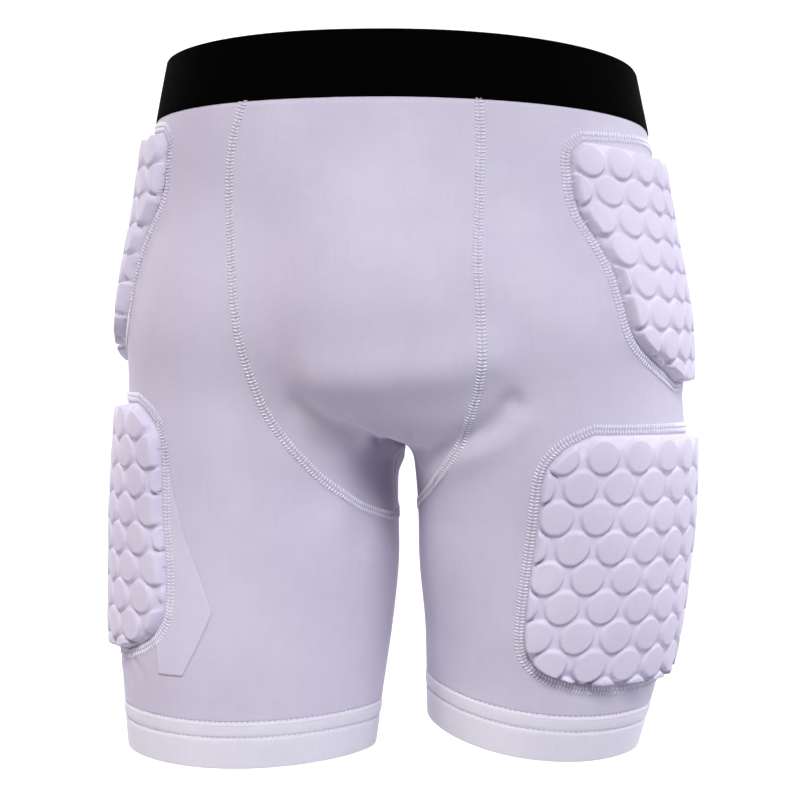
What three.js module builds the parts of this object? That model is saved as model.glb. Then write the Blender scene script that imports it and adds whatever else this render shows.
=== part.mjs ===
// Padded compression shorts, in the form that they have when worn and held up at the waist.
// Millimetres, +Z up. The front faces -Y and the wearer's left is +X.
// The origin is the middle of the waistband ring.
import * as THREE from 'three';

// Trunk and legs
const hipWidth = 320;
const hipDepth = 204;
const rise = 215; // middle of the waistband down to the crotch
const legLength = 190; // crotch down to the hem's edge
const thighWidth = 178;
const thighDepth = 176;
const legSpacing = 180; // between the axes of the two legs
const waistLean = 5; // the waist sits higher by this on the right and lower on the left
const waistPitch = 5.5; // the waist sits higher by this at the front and lower at the back

// Cloth, waistband and hems
const fabricThickness = 1.6;
const bandHeight = 41;
const bandThickness = 2.6;
const hemHeight = 25;
const hemThickness = 2.4;
const hemDip = 4; // the hems hang lower by this at the front
const leftHemLift = 20; // the left hem is pulled up by this on the inside
const seamGap = 0.4;

// Pads
const padClearance = 1.7; // leaves about 0.3 mm between the facets
const padBase = 4.2; // foam between the discs
const padEdge = 1.2; // foam pressed flat at the outline
const padRamp = 3; // width of the sloping edge
const discHeight = 3.6;
const hipDiscDiameter = 18.4;
const hipDiscPitch = 17.7; // across the pad, at the cloth
const thighDiscDiameter = 19.5;
const thighDiscPitch = 22.4;
const discPitchDown = 17.5;
const firstDisc = 0.65; // the first row's middle below the pad's top, a share of the pitch down
const discSpread = 0.9; // share of its width that a disc takes at the cloth, as its head spreads
const discTop = 0.86; // share of the disc that its top keeps
const smallestDisc = 0.36; // share of a disc that a cut one has at least
const hipPadWidth = 160;
const hipPadHeight = 146;
const thighPadWidth = 158;
const thighPadHeight = 150;

// Facets
const seamSteps = 9;
const legSteps = 3;
const legColumns = 26;
const frontColumns = 8;
const bandColumns = 36;
const padColumns = 12;
const discSides = 7;

// A level is 0 at the origin, 1 at the crotch and 2 at the hem's edge.
const zOfLevel = (level) => (level < 1 ? -level * rise : -rise - (level - 1) * legLength);
const levelOfZ = (z) => (z > -rise ? -z / rise : 1 + (-z - rise) / legLength);

// Sections of the trunk: shares of half the hip width and half the hip depth
const trunkRows = [
  { level: -0.11, half: 0.912, front: 0.951, back: 0.951 },
  { level: 0.093, half: 0.963, front: 0.971, back: 0.971 },
  { level: 0.279, half: 1.0, front: 0.971, back: 1.02 },
  { level: 0.512, half: 0.994, front: 0.971, back: 1.039 },
  { level: 0.744, half: 1.0, front: 0.961, back: 1.0 },
  { level: 1.0, half: 0.988, front: 0.902, back: 0.941 },
];

// Sections of each leg: half width and half depth as shares of half the thigh, the axis as shares
// of half the leg spacing (out) and of the thigh depth (aft)
const legRows = {
  right: [
    { level: 0.279, half: 0.674, deep: 0.682, out: 0.956, aft: 0.023 },
    { level: 0.558, half: 0.798, deep: 0.977, out: 0.967, aft: 0.023 },
    { level: 0.884, half: 0.95, deep: 1.045, out: 0.993, aft: 0.011 },
    { level: 1.2, half: 0.986, deep: 1.0, out: 1.012, aft: 0.0 },
    { level: 1.395, half: 0.993, deep: 0.955, out: 1.001, aft: -0.023 },
    { level: 1.595, half: 0.972, deep: 0.909, out: 1.011, aft: -0.045 },
    { level: 1.795, half: 0.929, deep: 0.864, out: 1.02, aft: -0.068 },
    { level: 2.079, half: 0.856, deep: 0.818, out: 1.026, aft: -0.085 },
  ],
  left: [
    { level: 0.279, half: 0.674, deep: 0.682, out: 0.933, aft: 0.023 },
    { level: 0.558, half: 0.798, deep: 0.977, out: 0.956, aft: 0.023 },
    { level: 0.884, half: 0.933, deep: 1.045, out: 1.022, aft: 0.023 },
    { level: 1.2, half: 0.921, deep: 0.977, out: 1.044, aft: 0.045 },
    { level: 1.395, half: 0.899, deep: 0.932, out: 1.022, aft: 0.068 },
    { level: 1.595, half: 0.854, deep: 0.886, out: 1.006, aft: 0.091 },
    { level: 1.795, half: 0.803, deep: 0.841, out: 0.956, aft: 0.114 },
    { level: 2.079, half: 0.708, deep: 0.795, out: 0.872, aft: 0.136 },
  ],
};

// Where the trunk rounds off below and the legs round off above, as shares of the rise
const trunkFoot = { start: 0.558, depth: 0.344, squareness: 2.35 };
const legHead = { start: 0.558, depth: 0.419 };

// Rounded forms blended into the trunk: places and radii as shares of hip width, hip depth and rise
const bulges = [
  { x: 0.044, y: -0.412, level: 0.642, rx: 0.175, ry: 0.206, rz: 0.307, blend: 0.156 },
  { x: -0.194, y: 0.294, level: 0.628, rx: 0.206, ry: 0.304, rz: 0.38, blend: 0.12 },
  { x: 0.194, y: 0.294, level: 0.628, rx: 0.206, ry: 0.304, rz: 0.38, blend: 0.12 },
];
const legBlend = 0.034; // between the legs, a share of the thigh width
const hipBlend = 0.1375; // between trunk and legs, a share of the hip width
const gapPlane = 0.0125; // the middle of the gap between the legs, a share of the hip width

// The seam between a leg panel and the centre panels. The turn runs round the leg's axis, from 0 on
// the outside over 90 at the front to 180 on the inside, and the back seam mirrors it.
const waistLevel = (bandHeight / 2 + seamGap) / rise;
const seamRows = {
  right: [
    { turn: 97.5, level: waistLevel },
    { turn: 93, level: 0.2 },
    { turn: 92, level: 0.33 },
    { turn: 94, level: 0.47 },
    { turn: 96, level: 0.61 },
    { turn: 98.5, level: 0.73 },
    { turn: 103, level: 0.84 },
    { turn: 109, level: 0.935 },
    { turn: 119, level: 1.033 },
    { turn: 131, level: 1.122 },
    { turn: 147, level: 1.196 },
    { turn: 166, level: 1.238 },
    { turn: 180, level: 1.25 },
  ],
  left: [
    { turn: 99.5, level: waistLevel },
    { turn: 98.5, level: 0.2 },
    { turn: 98, level: 0.33 },
    { turn: 97.5, level: 0.47 },
    { turn: 97, level: 0.61 },
    { turn: 98, level: 0.72 },
    { turn: 101, level: 0.835 },
    { turn: 106, level: 0.93 },
    { turn: 115, level: 1.03 },
    { turn: 130, level: 1.12 },
    { turn: 147, level: 1.172 },
    { turn: 166, level: 1.205 },
    { turn: 180, level: 1.215 },
  ],
};

// Outlines of the pads: shares of the height and of half the width, towards the front and the back
const hipOutline = [
  { down: 0.0, front: 0.88, back: 0.86 },
  { down: 0.05, front: 0.98, back: 0.96 },
  { down: 0.15, front: 1.0, back: 1.0 },
  { down: 0.3, front: 0.99, back: 0.99 },
  { down: 0.42, front: 0.91, back: 0.91 },
  { down: 0.54, front: 0.84, back: 0.84 },
  { down: 0.68, front: 0.8, back: 0.8 },
  { down: 0.78, front: 0.75, back: 0.75 },
  { down: 0.85, front: 0.66, back: 0.66 },
  { down: 0.92, front: 0.46, back: 0.46 },
  { down: 1.0, front: 0.14, back: 0.14 },
];
const thighOutline = [
  { down: 0.0, front: 0.61, back: 0.8 },
  { down: 0.05, front: 0.81, back: 0.92 },
  { down: 0.13, front: 0.94, back: 0.98 },
  { down: 0.25, front: 0.97, back: 1.0 },
  { down: 0.5, front: 0.965, back: 1.0 },
  { down: 0.72, front: 0.95, back: 1.0 },
  { down: 0.84, front: 0.91, back: 0.97 },
  { down: 0.91, front: 0.82, back: 0.89 },
  { down: 0.96, front: 0.67, back: 0.75 },
  { down: 1.0, front: 0.42, back: 0.5 },
];

const hipPad = {
  outline: hipOutline,
  width: hipPadWidth,
  height: hipPadHeight,
  discDiameter: hipDiscDiameter,
  discPitch: hipDiscPitch,
};
const thighPad = {
  outline: thighOutline,
  width: thighPadWidth,
  height: thighPadHeight,
  discDiameter: thighDiscDiameter,
  discPitch: thighDiscPitch,
};

// Each pad: the level of its top, and its middle as a share of the thigh width round from the outside
const pads = [
  { name: 'hip_pad_right', side: -1, ...hipPad, height: 0.93 * hipPadHeight, top: 0.149, middle: -0.018 },
  { name: 'hip_pad_left', side: 1, ...hipPad, top: 0.17, middle: 0.077 },
  { name: 'thigh_pad_right', side: -1, ...thighPad, top: 0.895, middle: 0.131 },
  { name: 'thigh_pad_left', side: 1, ...thighPad, top: 0.97, middle: 0.272 },
];

// A smooth curve through the rows of a table
function curve(rows, from, to) {
  const x = rows.map((row) => row[from]);
  const y = rows.map((row) => row[to]);
  const last = x.length - 1;
  const slope = x.map((_, i) => {
    const a = Math.max(i - 1, 0);
    const b = Math.min(i + 1, last);
    return (y[b] - y[a]) / (x[b] - x[a]);
  });
  return (at) => {
    const spot = THREE.MathUtils.clamp(at, x[0], x[last]);
    let i = 0;
    while (i < last - 1 && spot > x[i + 1]) i += 1;
    const run = x[i + 1] - x[i];
    const t = (spot - x[i]) / run;
    const keep = (2 * t - 3) * t * t + 1;
    const leave = (t - 2) * t * t + t;
    const arrive = (t - 1) * t * t;
    return keep * y[i] + leave * run * slope[i] + (1 - keep) * y[i + 1] + arrive * run * slope[i + 1];
  };
}

const curvesOf = (rows, from, names) =>
  Object.fromEntries(names.map((name) => [name, curve(rows, from, name)]));

const trunkCurves = curvesOf(trunkRows, 'level', ['half', 'front', 'back']);
const legCurves = {
  right: curvesOf(legRows.right, 'level', ['half', 'deep', 'out', 'aft']),
  left: curvesOf(legRows.left, 'level', ['half', 'deep', 'out', 'aft']),
};
const legOf = (side) => (side < 0 ? legCurves.right : legCurves.left);

function legAxis(side, z) {
  const level = levelOfZ(z);
  const leg = legOf(side);
  return new THREE.Vector3((side * leg.out(level) * legSpacing) / 2, leg.aft(level) * thighDepth, z);
}

// The smaller of two distances, rounded off where they are alike
function blend(a, b, reach) {
  const near = Math.max(reach - Math.abs(a - b), 0) / reach;
  return Math.min(a, b) - (near * near * reach) / 4;
}

function trunkDistance(p, level) {
  const half = (trunkCurves.half(level) * hipWidth) / 2;
  const deep = ((p.y < 0 ? trunkCurves.front(level) : trunkCurves.back(level)) * hipDepth) / 2;
  const below = Math.max(-p.z - trunkFoot.start * rise, 0) / (trunkFoot.depth * rise);
  const n = trunkFoot.squareness;
  const size = (Math.abs(p.x) / half) ** n + (Math.abs(p.y) / deep) ** n + below ** n;
  return (size ** (1 / n) - 1) * (hipDepth / 2) * 0.93;
}

function legDistance(p, level, side) {
  const leg = legOf(side);
  const axis = legAxis(side, p.z);
  const half = (leg.half(level) * thighWidth) / 2;
  const deep = (leg.deep(level) * thighDepth) / 2;
  const above = Math.max(p.z + legHead.start * rise, 0) / (legHead.depth * rise);
  return (Math.hypot((p.x - axis.x) / half, (p.y - axis.y) / deep, above) - 1) * (thighDepth / 2) * 0.91;
}

function bulgeDistance(p, bulge) {
  const x = (p.x - bulge.x * hipWidth) / (bulge.rx * hipWidth);
  const y = (p.y - bulge.y * hipDepth) / (bulge.ry * hipDepth);
  const z = (p.z + bulge.level * rise) / (bulge.rz * rise);
  return (Math.hypot(x, y, z) - 1) * bulge.ry * hipDepth;
}

// Distance outside the worn outer surface, negative inside it
function distance(p) {
  const level = levelOfZ(p.z);
  const legs = blend(legDistance(p, level, -1), legDistance(p, level, 1), legBlend * thighWidth);
  let total = blend(trunkDistance(p, level), legs, hipBlend * hipWidth);
  for (const bulge of bulges) total = blend(total, bulgeDistance(p, bulge), bulge.blend * hipWidth);
  return total;
}

function slopeAt(p) {
  const step = 0.5;
  const slope = new THREE.Vector3();
  for (const axis of ['x', 'y', 'z']) {
    const ahead = p.clone();
    const behind = p.clone();
    ahead[axis] += step;
    behind[axis] -= step;
    slope[axis] = (distance(ahead) - distance(behind)) / (2 * step);
  }
  return slope;
}

// The point of the surface on a ray from inside
function cast(from, direction, reach) {
  let inside = 0;
  let outside = reach;
  for (let i = 0; i < 26; i += 1) {
    const middle = (inside + outside) / 2;
    const out = distance(from.clone().addScaledVector(direction, middle)) > 0;
    if (out) outside = middle;
    else inside = middle;
  }
  return from.clone().addScaledVector(direction, inside);
}

// The point of the surface at a turn round one leg's axis and a height
function legPoint(side, turn, z) {
  const angle = THREE.MathUtils.degToRad(turn);
  const axis = legAxis(side, z);
  const direction = new THREE.Vector3(side * Math.cos(angle), -Math.sin(angle), 0);
  const inwards = -side * direction.x;
  const room = Math.abs(axis.x - gapPlane * hipWidth);
  const reach = inwards > 0.01 ? Math.min(hipWidth, room / inwards) : hipWidth;
  return cast(axis, direction, reach);
}

// Slides a point to the surface, level at first and then along the full slope
function settle(point, freedom) {
  const p = point.clone();
  for (let i = 0; i < 12; i += 1) {
    const slope = slopeAt(p);
    slope.z *= freedom;
    p.addScaledVector(slope, -distance(p) / slope.lengthSq());
  }
  return p;
}

function normalAt(p, freedom = 1) {
  const slope = slopeAt(p);
  slope.z *= freedom;
  return slope.normalize();
}

// Closed solid from its points and triangles, with its faces pointing out
function solid(points, triangles) {
  let volume = 0;
  for (const [a, b, c] of triangles) {
    volume += points[a].dot(points[b].clone().cross(points[c]));
  }
  const index = volume > 0 ? triangles.flat() : triangles.flatMap(([a, b, c]) => [a, c, b]);
  const geometry = new THREE.BufferGeometry();
  geometry.setAttribute('position', new THREE.Float32BufferAttribute(points.flatMap((p) => p.toArray()), 3));
  geometry.setIndex(index);
  return geometry;
}

// A wall between two grids of points. From the row closedFrom on, a row's last point is its first.
function wall(outer, inner, closedFrom) {
  const columns = outer[0].length;
  const rows = outer.length;
  const points = [...outer.flat(), ...inner.flat()];
  const triangles = [];
  const spot = (layer, row, column) => {
    const wrapped = row >= closedFrom && column === columns - 1 ? 0 : column;
    return (layer * rows + row) * columns + wrapped;
  };
  const quad = (a, b, c, d) => triangles.push([a, b, c], [a, c, d]);
  for (let i = 0; i < rows - 1; i += 1) {
    for (let j = 0; j < columns - 1; j += 1) {
      quad(spot(0, i, j), spot(0, i, j + 1), spot(0, i + 1, j + 1), spot(0, i + 1, j));
      quad(spot(1, i, j), spot(1, i + 1, j), spot(1, i + 1, j + 1), spot(1, i, j + 1));
    }
    if (i < closedFrom) {
      const end = columns - 1;
      quad(spot(0, i, 0), spot(0, i + 1, 0), spot(1, i + 1, 0), spot(1, i, 0));
      quad(spot(0, i, end), spot(1, i, end), spot(1, i + 1, end), spot(0, i + 1, end));
    }
  }
  for (let j = 0; j < columns - 1; j += 1) {
    const end = rows - 1;
    quad(spot(0, 0, j), spot(1, 0, j), spot(1, 0, j + 1), spot(0, 0, j + 1));
    quad(spot(0, end, j), spot(0, end, j + 1), spot(1, end, j + 1), spot(1, end, j));
  }
  return compact(solid(points, triangles));
}

// A closed ring through a loop of closed sections
function ring(sections) {
  const corners = sections[0].length;
  const triangles = [];
  for (let i = 0; i < sections.length; i += 1) {
    const next = (i + 1) % sections.length;
    for (let k = 0; k < corners; k += 1) {
      const after = (k + 1) % corners;
      const a = i * corners + k;
      const b = i * corners + after;
      const c = next * corners + after;
      const d = next * corners + k;
      triangles.push([a, b, c], [a, c, d]);
    }
  }
  return solid(sections.flat(), triangles);
}

// Leaves out the points that no triangle uses
function compact(geometry) {
  const index = geometry.index.array;
  const place = geometry.attributes.position;
  const renamed = new Map();
  const points = [];
  const kept = Array.from(index, (old) => {
    if (!renamed.has(old)) {
      renamed.set(old, points.length);
      points.push(new THREE.Vector3().fromBufferAttribute(place, old));
    }
    return renamed.get(old);
  });
  const packed = new THREE.BufferGeometry();
  packed.setAttribute('position', new THREE.Float32BufferAttribute(points.flatMap((p) => p.toArray()), 3));
  packed.setIndex(kept);
  return packed;
}

// Points of the seam at even steps down and round the leg
function seamSpots(side) {
  const rows = seamRows[side].map((row, step) => ({ step, ...row }));
  const turnAt = curve(rows, 'step', 'turn');
  const levelAt = curve(rows, 'step', 'level');
  const fine = [];
  const girth = 1.2 * (thighWidth / 2);
  for (let i = 0; i <= 240; i += 1) {
    const step = (i / 240) * (rows.length - 1);
    const spot = { turn: turnAt(step), z: zOfLevel(levelAt(step)), run: 0 };
    const before = fine[fine.length - 1];
    if (before) {
      const round = THREE.MathUtils.degToRad(spot.turn - before.turn) * girth;
      spot.run = before.run + Math.hypot(round, spot.z - before.z);
    }
    fine.push(spot);
  }
  const total = fine[fine.length - 1].run;
  return Array.from({ length: seamSteps + 1 }, (_, i) => {
    const wanted = (total * i) / seamSteps;
    return fine.find((spot) => spot.run >= wanted - 1e-9);
  });
}

const seams = { right: seamSpots('right'), left: seamSpots('left') };
const seamOf = (side) => (side < 0 ? seams.right : seams.left);

// Half the gap of a seam, as a step from an edge point towards a point inside the panel
function openSeam(edge, inside) {
  return inside.clone().sub(edge).normalize().multiplyScalar(seamGap / 2);
}

// Height of the upper edge of a hem
function hemTop(side, turn) {
  const angle = THREE.MathUtils.degToRad(turn);
  const dip = hemDip * Math.max(Math.sin(angle), 0) ** 2;
  const lift = side > 0 ? leftHemLift * ((1 - Math.cos(angle)) / 2) ** 1.5 : 0;
  return -rise - legLength + hemHeight - dip + lift;
}

const spread = (count, from, to) =>
  Array.from({ length: count + 1 }, (_, i) => from + ((to - from) * i) / count);

// The wall of a panel from its outer surface, with its side seams opened, and its last row if told so
function panelWall(base, normals, closedFrom, openEnd) {
  const last = base.length - 1;
  const end = base[0].length - 1;
  const shifts = base.map((row) => row.map(() => new THREE.Vector3()));
  if (openEnd) base[last].forEach((p, j) => shifts[last][j].add(openSeam(p, base[last - 1][j])));
  base.forEach((row, i) => {
    if (i < closedFrom) {
      shifts[i][0].add(openSeam(row[0], row[1]));
      shifts[i][end].add(openSeam(row[end], row[end - 1]));
    } else if (i === closedFrom) {
      const down = openSeam(row[0], base[i + 1][0]);
      shifts[i][0].add(down);
      shifts[i][end].add(down);
    }
  });
  const outer = base.map((row, i) => row.map((p, j) => p.clone().add(shifts[i][j])));
  const inner = outer.map((row, i) => row.map((p, j) =>
    p.clone().addScaledVector(normals[i][j], -fabricThickness)));
  return wall(outer, inner, closedFrom);
}

function legPanel(side) {
  const seam = seamOf(side);
  const base = seam.map(({ turn, z }) =>
    spread(legColumns, turn, -turn).map((at) => legPoint(side, at, z)));
  const turns = spread(legColumns, 180, -180);
  const start = seam[seam.length - 1].z;
  for (let i = 1; i <= legSteps; i += 1) {
    base.push(turns.map((at) => legPoint(side, at, start + ((hemTop(side, at) - start) * i) / legSteps)));
  }
  const closedFrom = seam.length - 1;
  base.forEach((row, i) => {
    if (i >= closedFrom) row[legColumns] = row[0].clone();
  });
  const normals = base.map((row, i) => row.map((p) => normalAt(p, i === 0 ? 0 : 1)));
  return panelWall(base, normals, closedFrom, false);
}

// The front panel (face -1) or the back panel (face 1), from the waist to the middle of the crotch
function centrePanel(face) {
  const middle = gapPlane * hipWidth;
  const core = new THREE.Vector3(middle, 0, -rise / 2);
  const waist = Math.atan2(rise / 2 - waistLevel * rise, hipDepth / 2);
  const base = seams.right.map((onRight, i) => {
    const onLeft = seams.left[i];
    const share = i / seamSteps;
    const right = legPoint(-1, -face * onRight.turn, onRight.z);
    const left = legPoint(1, -face * onLeft.turn, onLeft.z);
    const angle = -waist + (waist + Math.PI / 2) * share;
    const direction = new THREE.Vector3(0, face * Math.cos(angle), -Math.sin(angle));
    const centre = cast(core, direction, rise);
    if (i === 0) centre.z = onRight.z;
    const pull = centre.multiplyScalar(2).addScaledVector(right, -0.5).addScaledVector(left, -0.5);
    const arc = new THREE.QuadraticBezierCurve3(right, pull, left);
    const freedom = Math.min(share * 3, 1);
    return spread(frontColumns, 0, 1).map((t) => {
      const p = arc.getPoint(t);
      return t > 0 && t < 1 ? settle(p, freedom) : p;
    });
  });
  const normals = base.map((row, i) => row.map((p) => normalAt(p, i === 0 ? 0 : 1)));
  return panelWall(base, normals, Infinity, true);
}

// The ring of points at one height round the trunk
function trunkRing(z) {
  const from = new THREE.Vector3(0, 0, z);
  return spread(bandColumns, 0, 360).slice(0, bandColumns).map((turn) => {
    const angle = THREE.MathUtils.degToRad(turn);
    return cast(from, new THREE.Vector3(Math.cos(angle), Math.sin(angle), 0), hipWidth);
  });
}

// A ring whose section is a strip with a softened outer edge
function strip(upper, lower, thickness, proud) {
  const soften = Math.min(0.6, thickness / 3);
  return ring(upper.map((top, j) => {
    const bottom = lower[j];
    const out = normalAt(top.clone().lerp(bottom, 0.5), 0);
    const drop = bottom.clone().sub(top).normalize().multiplyScalar(soften * 2);
    return [
      top.clone().addScaledVector(out, proud - thickness),
      top.clone().addScaledVector(out, proud - soften),
      top.clone().add(drop).addScaledVector(out, proud),
      bottom.clone().sub(drop).addScaledVector(out, proud),
      bottom.clone().addScaledVector(out, proud - soften),
      bottom.clone().addScaledVector(out, proud - thickness),
    ];
  }));
}

function waistband() {
  return strip(trunkRing(bandHeight / 2), trunkRing(-bandHeight / 2), bandThickness, bandThickness / 3);
}

function legHem(side) {
  const turns = spread(legColumns, 180, -180).slice(0, legColumns);
  const upper = turns.map((at) => legPoint(side, at, hemTop(side, at) - seamGap));
  const lower = turns.map((at) => legPoint(side, at, hemTop(side, at) - hemHeight));
  return strip(upper, lower, hemThickness, hemThickness / 6);
}

// Turn round the leg at a length along the cloth from its outer line, at one height
const girths = new Map();
function turnAlong(side, z, length) {
  const key = `${side} ${z.toFixed(3)}`;
  if (!girths.has(key)) {
    const rows = [];
    for (const way of [-1, 1]) {
      let run = 0;
      let before = legPoint(side, 0, z);
      for (let turn = 5; turn <= 150; turn += 5) {
        const here = legPoint(side, way * turn, z);
        run += here.distanceTo(before);
        before = here;
        rows.push({ run: way * run, turn: way * turn });
      }
    }
    rows.push({ run: 0, turn: 0 });
    rows.sort((a, b) => a.run - b.run);
    girths.set(key, curve(rows, 'run', 'turn'));
  }
  return girths.get(key)(length);
}

// A point over the cloth, at a length round from the pad's middle and a length down from its top
function padPoint(pad, round, down, height) {
  const z = zOfLevel(pad.top) - down;
  const p = legPoint(pad.side, turnAlong(pad.side, z, pad.middle * thighWidth + round), z);
  return p.addScaledVector(normalAt(p), height);
}

// The edge of the chart of a pad, counter-clockwise, as places in its grid of rows
function edgeOf(rows) {
  const last = rows.length - 1;
  const end = rows[0].length - 1;
  const ringPlaces = [];
  for (let j = 0; j < end; j += 1) ringPlaces.push([0, j]);
  for (let i = 0; i < last; i += 1) ringPlaces.push([i, end]);
  for (let j = end; j > 0; j -= 1) ringPlaces.push([last, j]);
  for (let i = last; i > 0; i -= 1) ringPlaces.push([i, 0]);
  return ringPlaces;
}

// A counter-clockwise outline moved inwards by a length
function inset(outline, length) {
  return outline.map((corner, i) => {
    const before = outline[(i + outline.length - 1) % outline.length];
    const after = outline[(i + 1) % outline.length];
    const arriving = corner.clone().sub(before).normalize();
    const leaving = after.clone().sub(corner).normalize();
    const along = arriving.add(leaving).normalize();
    const reach = length / along.dot(leaving);
    return new THREE.Vector2(corner.x - along.y * reach, corner.y + along.x * reach);
  });
}

// The part of a polygon on the inner side of a line from a to b
function clip(corners, a, b) {
  const along = b.clone().sub(a).normalize();
  const depth = (p) => along.x * (p.y - a.y) - along.y * (p.x - a.x);
  const kept = [];
  corners.forEach((corner, i) => {
    const next = corners[(i + 1) % corners.length];
    const here = depth(corner);
    const there = depth(next);
    if (here >= 0) kept.push(corner);
    if (here >= 0 !== there >= 0) kept.push(corner.clone().lerp(next, here / (here - there)));
  });
  return kept;
}

function distanceToSegment(p, a, b) {
  const run = b.clone().sub(a);
  const share = THREE.MathUtils.clamp(p.clone().sub(a).dot(run) / run.lengthSq(), 0, 1);
  return a.clone().addScaledVector(run, share).distanceTo(p);
}

// The outline of the disc at one place of the chart, cut off at the edge of the raised foam
function discOutline(centre, edge, diameter) {
  const radius = diameter / 2;
  let corners = spread(discSides, 0, 2 * Math.PI).slice(0, discSides).map((angle) => {
    const turned = angle + Math.PI / discSides;
    const x = centre.x + discSpread * radius * Math.cos(turned);
    return new THREE.Vector2(x, centre.y + radius * Math.sin(turned));
  });
  edge.forEach((a, i) => {
    const b = edge[(i + 1) % edge.length];
    if (distanceToSegment(centre, a, b) < radius * 1.05) corners = clip(corners, a, b);
  });
  const apart = radius / 8;
  corners = corners.filter((corner, i) => corner.distanceTo(corners[(i + 1) % corners.length]) > apart);
  const whole = Math.PI * radius * radius * discSpread;
  return corners.length > 2 && THREE.ShapeUtils.area(corners) > smallestDisc * whole ? corners : null;
}

function discOutlines(pad, edge) {
  const found = [];
  const reach = Math.ceil(pad.width / 2 / pad.discPitch) + 1;
  const xs = edge.map((corner) => corner.x);
  const over = pad.discDiameter / 3;
  const inside = (p) => p.x > Math.min(...xs) - over && p.x < Math.max(...xs) + over;
  for (let row = 0; (firstDisc + row) * discPitchDown < pad.height; row += 1) {
    const down = (firstDisc + row) * discPitchDown;
    for (let i = -reach; i <= reach; i += 1) {
      const centre = new THREE.Vector2((i + (row % 2) / 2) * pad.discPitch, down);
      const near = inside(centre) && isNear(centre, edge, pad.discDiameter / 4);
      const corners = near ? discOutline(centre, edge, pad.discDiameter) : null;
      if (corners) found.push(corners);
    }
  }
  return found;
}

// True where a place is inside an outline or less than a margin outside it
function isNear(place, edge, margin) {
  let crossings = 0;
  let nearest = Infinity;
  edge.forEach((a, i) => {
    const b = edge[(i + 1) % edge.length];
    nearest = Math.min(nearest, distanceToSegment(place, a, b));
    const crosses = a.y > place.y !== b.y > place.y;
    if (crosses && place.x < a.x + ((b.x - a.x) * (place.y - a.y)) / (b.y - a.y)) crossings += 1;
  });
  return crossings % 2 === 1 || nearest < margin;
}

function angleAt(tip, a, b) {
  return Math.abs(a.clone().sub(tip).angleTo(b.clone().sub(tip)));
}

// Counter-clockwise faces over flat corners. Two faces swap their shared edge for the other
// diagonal until none is needlessly long, because a long one would cut through the curve of the leg.
function evenFaces(faces, corners) {
  const covered = faces.reduce((sum, face) => sum + THREE.ShapeUtils.area(face.map((k) => corners[k])), 0);
  const even = faces.map((face) => (covered > 0 ? [...face] : [...face].reverse()));
  let swaps = 1;
  for (let pass = 0; swaps > 0 && pass < 80; pass += 1) {
    swaps = 0;
    const sides = new Map();
    even.forEach(([a, b, c], face) => {
      sides.set(`${a} ${b}`, { a, b, tip: c, face });
      sides.set(`${b} ${c}`, { a: b, b: c, tip: a, face });
      sides.set(`${c} ${a}`, { a: c, b: a, tip: b, face });
    });
    const changed = new Set();
    for (const one of sides.values()) {
      const other = sides.get(`${one.b} ${one.a}`);
      if (other && !changed.has(one.face) && !changed.has(other.face)) {
        const [a, b, c, d] = [one.a, one.b, one.tip, other.tip].map((k) => corners[k]);
        if (angleAt(c, a, b) + angleAt(d, a, b) > Math.PI + 1e-4) {
          even[one.face] = [one.a, other.tip, one.tip];
          even[other.face] = [other.tip, one.b, one.tip];
          changed.add(one.face).add(other.face);
          swaps += 1;
        }
      }
    }
  }
  return even;
}

// A pad: a foam plate with a sloping edge and raised discs, its inner face a grid on the cloth
function padSolid(pad) {
  const half = pad.width / 2;
  const rows = pad.outline.map(({ down, front, back }) => {
    const rounds = spread(padColumns, -half * back, half * front);
    return rounds.map((round) => new THREE.Vector2(round, down * pad.height));
  });
  const places = edgeOf(rows);
  const outline = places.map(([i, j]) => rows[i][j]);
  const crest = inset(outline, padRamp);
  const discs = discOutlines(pad, inset(outline, padRamp * 1.15));

  const points = [];
  const triangles = [];
  const layer = (corners, height) => corners.map((corner) => {
    points.push(padPoint(pad, corner.x, corner.y, padClearance + height));
    return points.length - 1;
  });
  const quad = (a, b, c, d) => triangles.push([a, b, c], [a, c, d]);
  const band = (low, high) => low.forEach((a, i) => {
    const next = (i + 1) % low.length;
    quad(a, low[next], high[next], high[i]);
  });

  const inner = rows.map((row) => layer(row, 0));
  for (let i = 0; i < rows.length - 1; i += 1) {
    for (let j = 0; j < padColumns; j += 1) {
      quad(inner[i][j], inner[i + 1][j], inner[i + 1][j + 1], inner[i][j + 1]);
    }
  }
  const rim = layer(outline, padEdge);
  const top = layer(crest, padBase);
  const feet = discs.map((corners) => layer(corners, padBase));
  band(places.map(([i, j]) => inner[i][j]), rim);
  band(rim, top);
  const named = [top, ...feet].flat();
  const faces = THREE.ShapeUtils.triangulateShape([...crest], discs.map((corners) => [...corners]));
  for (const face of evenFaces(faces, [crest, ...discs].flat())) {
    triangles.push(face.map((k) => named[k]));
  }
  discs.forEach((corners, k) => {
    const centre = corners.reduce((sum, corner) => sum.add(corner), new THREE.Vector2());
    centre.divideScalar(corners.length);
    const shrunk = corners.map((corner) => centre.clone().lerp(corner, discTop));
    const head = layer(shrunk, padBase + discHeight);
    band(feet[k], head);
    for (let i = 1; i < head.length - 1; i += 1) triangles.push([head[0], head[i], head[i + 1]]);
  });
  return solid(points, triangles);
}

// Tips the waist a little to the left and to the back, fading out towards the crotch
function lean(geometry) {
  const place = geometry.attributes.position;
  for (let i = 0; i < place.count; i += 1) {
    const fade = THREE.MathUtils.clamp(1 + place.getZ(i) / rise, 0, 1);
    const left = (waistLean * fade * place.getX(i)) / (hipWidth / 2);
    const back = (waistPitch * fade * fade * place.getY(i)) / (hipDepth / 2);
    place.setZ(i, place.getZ(i) - left - back);
  }
  return geometry;
}

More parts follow.
